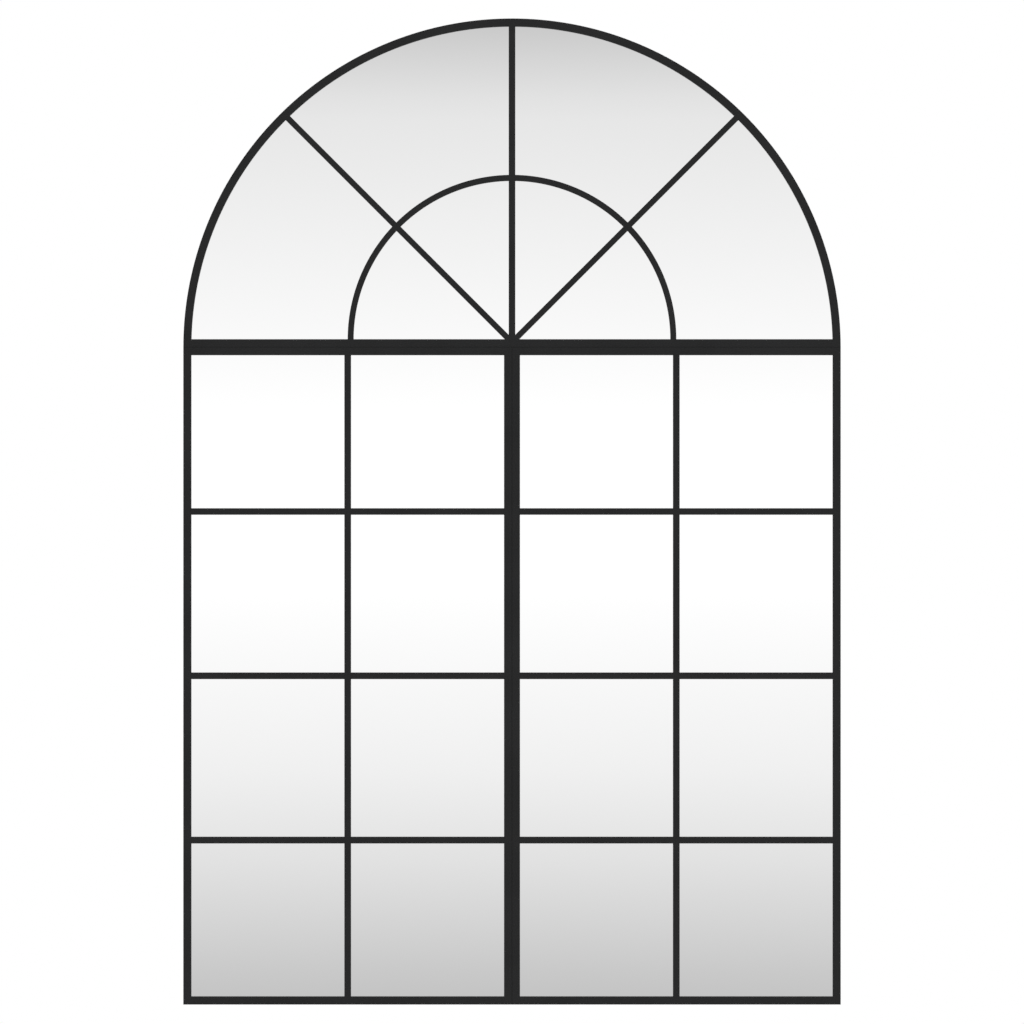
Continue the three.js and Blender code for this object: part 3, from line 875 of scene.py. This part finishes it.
def barrel(name, across, half, end_across, end_half):
    """A round bar with a cone at each end."""
    made = added(
        bpy.ops.mesh.primitive_cylinder_add, name, vertices=36, radius=across, depth=2 * half,
    )
    edit(made)
    share = end_across / across
    for outwards in (-1, 1):
        pick(made, lambda face: face.normal.z * outwards > 0.9)
        further = {"value": (0, 0, outwards * (end_half - half))}
        bpy.ops.mesh.extrude_region_move(TRANSFORM_OT_translate=further)
        middle = (0, 0, outwards * end_half)
        bpy.ops.transform.resize(value=(share, share, 1), center_override=middle)
    done(made)
    return made


nut = added(
    bpy.ops.mesh.primitive_cylinder_add, "nut", vertices=6, radius=NUT_CORNER, depth=NUT_THICK,
)
nut_half = NUT_THICK / 2
turned_corners = barrel(
    "corners", NUT_CORNER, nut_half - 0.36 * MM, 3.38 * MM, nut_half + 0.01 * MM,
)
bore = barrel("bore", 1.9 * MM, nut_half - 0.35 * MM, 2.4 * MM, nut_half + 0.05 * MM)
for operation, tool in (("INTERSECT", turned_corners), ("DIFFERENCE", bore)):
    use(nut)
    shaping = nut.modifiers.new("shaping", "BOOLEAN")
    shaping.operation = operation
    shaping.object = tool
    bpy.ops.object.modifier_apply(modifier="shaping")
    bpy.data.objects.remove(tool)
soften(nut, 0.07 * MM, segments=1, angle=20)
nut.data.transform(Matrix.Translation((0, 0, nut_half + WASHER_THICK)))

washer = added(
    bpy.ops.mesh.primitive_cylinder_add, "washer", vertices=32, radius=WASHER,
    depth=WASHER_THICK, location=(0, 0, WASHER_THICK / 2),
)
edit(washer)
pick(washer, lambda face: abs(face.normal.z) > 0.9)
bpy.ops.mesh.inset(thickness=WASHER - HOLE)
bpy.ops.mesh.bridge_edge_loops()
done(washer)
soften(washer, 0.12 * MM)

for piece in (nut, washer):
    piece.data.transform(Matrix.Rotation(radians(-90), 4, "X"))
under = {(x, z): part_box("centre_tee_plate")[1][1] for x, z in stud_places}
for sign in (-1, 1):
    for up in (-1, 1):
        under[sign * HANGER_OUT, spring + up * stud_line] = strap_front + STRAP_THICK
for joint in clip_joints:
    under[joint["pos_m"][0], joint["pos_m"][2]] = clip_front + CLIP_THICK
for number, ((x, z), y) in enumerate(under.items(), 1):
    place = Matrix.Translation((x, y, z)) @ Matrix.Rotation(NUT_TURN * number, 4, "Y")
    for piece in (nut, washer):
        one = copy_of(piece, f"{piece.name}_{number:02d}", place)
        carry(one, zinc, "mirror_frame", "zinc_steel")
for piece in (nut, washer):
    bpy.data.objects.remove(piece)


# Wall pads. Stick-on bumpers of black rubber with a rounded rim and a shallow dish, on the
# lower corners of the back boards.

PAD = 8 * MM  # radius
PAD_RIM = 2.4 * MM
DISH = 0.6 * MM  # depth
pad_low, pad_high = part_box("right_wall_pad")
pad_thick = pad_high[1] - pad_low[1]
pad = added(
    bpy.ops.mesh.primitive_cylinder_add, "wall_pad", vertices=48, radius=PAD, depth=pad_thick,
    location=(0, 0, pad_thick / 2),
)
edit(pad)
pick(pad, lambda face: face.normal.z > 0.9)
bpy.ops.transform.resize(value=(0.93, 0.93, 1), center_override=(0, 0, pad_thick))
bpy.ops.mesh.bevel(offset=1.4 * MM, segments=5, affect="EDGES")
pick(pad, lambda face: face.normal.z > 0.99 and face.calc_area() > 1e-5)
bpy.ops.mesh.inset(thickness=PAD_RIM)
bpy.ops.mesh.inset(thickness=0.5 * MM)
bpy.ops.transform.translate(value=(0, 0, -DISH))
done(pad, 40)
pad.data.transform(Matrix.Rotation(radians(-90), 4, "X"))
for side, sign in (("left", -1), ("right", 1)):
    middle = ((pad_low[0] + pad_high[0]) / 2 * sign, pad_low[1], (pad_low[2] + pad_high[2]) / 2)
    one = copy_of(pad, f"{side}_bumper", Matrix.Translation(middle))
    carry(one, rubber, "mirror_frame", "pad_rubber", f"{side}_wall_pad")
bpy.data.objects.remove(pad)


# Studio. A pale floor well below the hanging mirror, four soft lamps, and a world that the
# camera sees as white and the mirror as a pale wall, brightest at eye level.

FLOOR_DROP = 0.6
FLOOR = 2.6  # radius
FADE = (1.2, 2.5)  # distances from the middle between which the floor fades out
floor_material, ground = new_material("pale_floor")
floor = added(
    bpy.ops.mesh.primitive_circle_add, "floor", vertices=64, radius=FLOOR, fill_type="NGON",
    location=(0, 0, foot - FLOOR_DROP),
)
finish(floor_material, Base_Color=(0.8, 0.8, 0.8, 1), Roughness=0.8)
fade_from = ground.node("ShaderNodeTexCoord", {}, output=3)
level_way = ground.node(
    "ShaderNodeVectorMath", {0: fade_from, 1: (1, 1, 0)}, operation="MULTIPLY",
)
reach = ground.node("ShaderNodeVectorMath", {0: level_way}, output=1, operation="LENGTH")
nodes = floor_material.node_tree.nodes
clear = ground.node("ShaderNodeBsdfTransparent", {})
solid = Shade(floor_material.node_tree, nodes["Principled BSDF"].outputs[0])
mixed = ground.node("ShaderNodeMixShader", {0: reach.steps(*FADE), 1: solid, 2: clear})
floor_material.node_tree.links.new(mixed.socket, nodes["Material Output"].inputs["Surface"])
floor.data.materials.append(floor_material)
floor.visible_glossy = False

for name, place, size, power in (
    ("key_lamp", (-2.6, -3.4, 2.0), 2.5, 60),
    ("fill_lamp", (3.0, -3.0, 0.6), 2.5, 30),
    ("rear_lamp", (1.6, 3.2, 1.8), 2.0, 60),
    ("rear_fill", (-3.0, 2.6, 0.2), 2.0, 30),
):
    lamp_data = bpy.data.lights.new(name, "AREA")
    lamp_data.size = size
    lamp_data.energy = power
    lamp = bpy.data.objects.new(name, lamp_data)
    lamp.location = place
    aim = Vector((0, 0, camera.location.z)) - Vector(place)
    lamp.rotation_euler = aim.to_track_quat("-Z", "Y").to_euler()
    lamp.visible_glossy = place[1] > 0
    bpy.context.scene.collection.objects.link(lamp)

world = bpy.data.worlds.new("studio")
world.use_nodes = True
bpy.context.scene.world = world
sky = Shade(world.node_tree)
ray = sky.node("ShaderNodeLightPath", {})
seen = {name: Shade(sky.tree, ray.socket.node.outputs[f"Is {name} Ray"])
        for name in ("Camera", "Glossy", "Transmission")}
direction = sky.node("ShaderNodeTexCoord", {}, output=0)
rising = sky.node("ShaderNodeSeparateXYZ", {"Vector": direction}, output=2)
wall_levels = [  # sine of the elevation, brightness
    (-1, 0.9), (-0.6, 0.85), (-0.35, 0.75), (-0.2, 0.5), (-0.168, 0.6), (-0.124, 0.81),
    (-0.092, 0.93), (-0.024, 1.08), (0.032, 1.08), (0.088, 0.96), (0.144, 0.84), (0.19, 0.5),
    (0.4, 0.75), (0.8, 0.9),
]
wall = sky.node(
    "ShaderNodeValToRGB", {"Fac": rising.steps(-1, 1)},
    stops=[((elevation + 1) / 2, level) for elevation, level in wall_levels],
)
surroundings = sky.blend(seen["Glossy"], (0.75, 0.75, 0.75, 1), wall)
seen_directly = seen["Camera"].math("MAXIMUM", seen["Camera"], seen["Transmission"])
light = sky.blend(seen_directly, surroundings, (1, 1, 1, 1))
backdrop = world.node_tree.nodes["Background"]
world.node_tree.links.new(light.socket, backdrop.inputs["Color"])

bpy.context.scene.view_settings.view_transform = "Standard"
